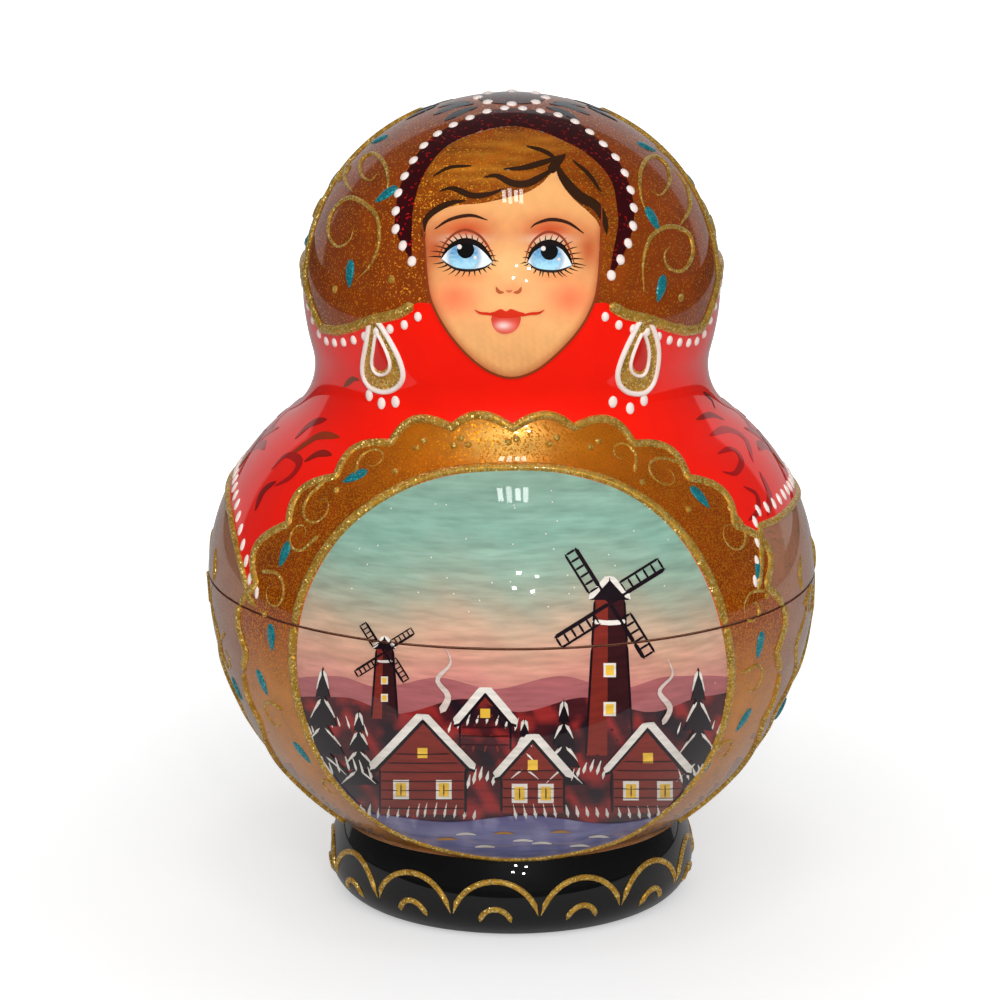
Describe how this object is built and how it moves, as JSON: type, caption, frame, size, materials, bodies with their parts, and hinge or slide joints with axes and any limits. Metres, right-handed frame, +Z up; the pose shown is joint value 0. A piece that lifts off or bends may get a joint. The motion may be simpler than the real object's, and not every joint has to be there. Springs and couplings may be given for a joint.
{
  "type": "matryoshka nesting doll",
  "caption": "Round lacquered wooden nesting doll on a rolled foot; its hollow halves part at a lipped seam and hold ever smaller dolls of the same outline.",
  "frame": {"origin": "centre of the flat underside of the outer doll's foot", "axes": "+Z up along the doll's axis, the painted face looks along -Y, +X is at the viewer's right"},
  "size_m": [0.0744, 0.0744, 0.1],
  "materials": {
    "painted_top": "painted and lacquered outside, raw turned linden inside",
    "painted_bottom": "painted and lacquered outside, raw turned linden inside"
  },
  "bodies": {
    "outer_doll_bottom": {"outer_doll_bottom": "painted_bottom"},
    "outer_doll_top": {"outer_doll_top": "painted_top"},
    "second_doll_bottom": {"second_doll_bottom": "painted_bottom"},
    "second_doll_top": {"second_doll_top": "painted_top"},
    "third_doll_bottom": {"third_doll_bottom": "painted_bottom"},
    "third_doll_top": {"third_doll_top": "painted_top"},
    "fourth_doll_bottom": {"fourth_doll_bottom": "painted_bottom"},
    "fourth_doll_top": {"fourth_doll_top": "painted_top"},
    "fifth_doll_bottom": {"fifth_doll_bottom": "painted_bottom"},
    "fifth_doll_top": {"fifth_doll_top": "painted_top"},
    "sixth_doll_bottom": {"sixth_doll_bottom": "painted_bottom"},
    "sixth_doll_top": {"sixth_doll_top": "painted_top"},
    "seed_doll": {"seed_doll": "painted_top"}
  },
  "joints": [
    {"name": "second_doll_lift", "type": "slide", "parent": "outer_doll_bottom", "child": "second_doll_bottom", "axis": [0, 0, 1], "range_m": [0, 0.042]},
    {"name": "third_doll_lift", "type": "slide", "parent": "second_doll_bottom", "child": "third_doll_bottom", "axis": [0, 0, 1], "range_m": [0, 0.0315]},
    {"name": "fourth_doll_lift", "type": "slide", "parent": "third_doll_bottom", "child": "fourth_doll_bottom", "axis": [0, 0, 1], "range_m": [0, 0.0235]},
    {"name": "fifth_doll_lift", "type": "slide", "parent": "fourth_doll_bottom", "child": "fifth_doll_bottom", "axis": [0, 0, 1], "range_m": [0, 0.0175]},
    {"name": "sixth_doll_lift", "type": "slide", "parent": "fifth_doll_bottom", "child": "sixth_doll_bottom", "axis": [0, 0, 1], "range_m": [0, 0.013]},
    {"name": "seed_doll_lift", "type": "slide", "parent": "sixth_doll_bottom", "child": "seed_doll", "axis": [0, 0, 1], "range_m": [0, 0.0096]},
    {"name": "sixth_top_lift", "type": "slide", "parent": "seed_doll", "child": "sixth_doll_top", "axis": [0, 0, 1], "range_m": [0, 0.009]},
    {"name": "fifth_top_lift", "type": "slide", "parent": "sixth_doll_top", "child": "fifth_doll_top", "axis": [0, 0, 1], "range_m": [0, 0.014]},
    {"name": "fourth_top_lift", "type": "slide", "parent": "fifth_doll_top", "child": "fourth_doll_top", "axis": [0, 0, 1], "range_m": [0, 0.019]},
    {"name": "third_top_lift", "type": "slide", "parent": "fourth_doll_top", "child": "third_doll_top", "axis": [0, 0, 1], "range_m": [0, 0.0255]},
    {"name": "second_top_lift", "type": "slide", "parent": "third_doll_top", "child": "second_doll_top", "axis": [0, 0, 1], "range_m": [0, 0.0345]},
    {"name": "outer_top_lift", "type": "slide", "parent": "second_doll_top", "child": "outer_doll_top", "axis": [0, 0, 1], "range_m": [0, 0.046]}
  ]
}
